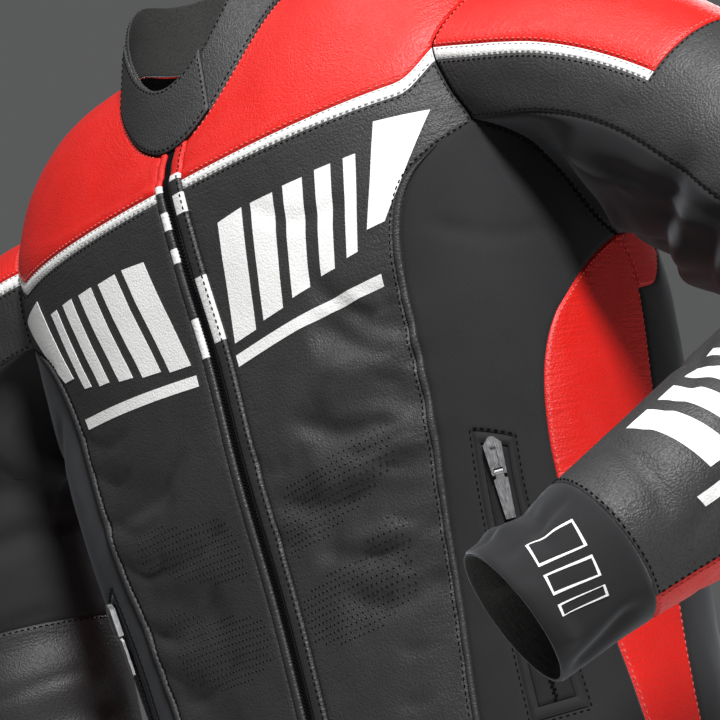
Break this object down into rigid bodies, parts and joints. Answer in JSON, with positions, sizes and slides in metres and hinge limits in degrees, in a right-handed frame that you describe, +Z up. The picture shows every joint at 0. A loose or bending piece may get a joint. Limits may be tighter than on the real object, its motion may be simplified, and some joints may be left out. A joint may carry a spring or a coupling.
{
  "type": "leather motorcycle jacket",
  "caption": "Worn-shape leather motorcycle jacket in black, red and white with stretch side panels, zipped pockets and a short stand-up collar.",
  "frame": {"origin": "in the middle of the neck opening, at the height where the collar is sewn on, where the wearer's neck and shoulders hold the jacket", "axes": "X to the wearer's left, Y to the back (the front faces -Y), Z up"},
  "size_m": [0.8229, 0.4139, 0.6964],
  "materials": {
    "black_leather": "matt, clearly grained",
    "red_leather": "satin, grained",
    "white_leather": "matt",
    "stretch_fabric": "matt knit",
    "soft_cuff": "soft matt",
    "zip_tape": "woven tape with black teeth",
    "dull_steel": "dull grey plating"
  },
  "bodies": {
    "jacket": {"waistband": "black_leather", "zip_tape": "zip_tape", "zip_facing_left": "black_leather", "zip_facing_right": "black_leather", "front_panel_left": "black_leather", "front_panel_right": "black_leather", "yoke_strip_left": "white_leather", "yoke_strip_right": "white_leather", "front_yoke_left": "red_leather", "front_yoke_right": "red_leather", "front_piping_left": "black_leather", "front_piping_right": "black_leather", "side_stretch_left": "stretch_fabric", "side_stretch_right": "stretch_fabric", "pocket_welt_left": "black_leather", "pocket_welt_right": "black_leather", "pocket_zip_left": "zip_tape", "pocket_zip_right": "zip_tape", "side_leaf_left": "red_leather", "side_leaf_right": "red_leather", "back_side_left": "stretch_fabric", "back_side_right": "stretch_fabric", "underarm_strap_left": "red_leather", "underarm_strap_right": "red_leather", "back_panel": "black_leather", "back_yoke": "red_leather", "collar": "black_leather", "collar_tab": "black_leather", "sleeve_stretch_left": "stretch_fabric", "sleeve_stretch_right": "stretch_fabric", "sleeve_cap_left": "red_leather", "sleeve_cap_right": "red_leather", "sleeve_strip_left": "white_leather", "sleeve_strip_right": "white_leather", "sleeve_outer_left": "black_leather", "sleeve_outer_right": "black_leather", "forearm_under_left": "red_leather", "forearm_under_right": "red_leather", "forearm_upper_left": "black_leather", "forearm_upper_right": "black_leather", "cuff_left": "soft_cuff", "cuff_right": "soft_cuff", "pocket_slider_left": "dull_steel", "pocket_slider_right": "dull_steel"},
    "pull_left": {"pocket_pull_left": "dull_steel"},
    "pull_right": {"pocket_pull_right": "dull_steel"}
  },
  "joints": [
    {"name": "pull_left_hinge", "type": "hinge", "parent": "jacket", "child": "pull_left", "pos_m": [0.15654, -0.08067, -0.34711], "axis": [-0.8393, -0.5421, 0.0413], "range_deg": [0, 120]},
    {"name": "pull_right_hinge", "type": "hinge", "parent": "jacket", "child": "pull_right", "pos_m": [-0.15654, -0.08067, -0.34711], "axis": [-0.8393, 0.5421, -0.0413], "range_deg": [0, 120]}
  ]
}
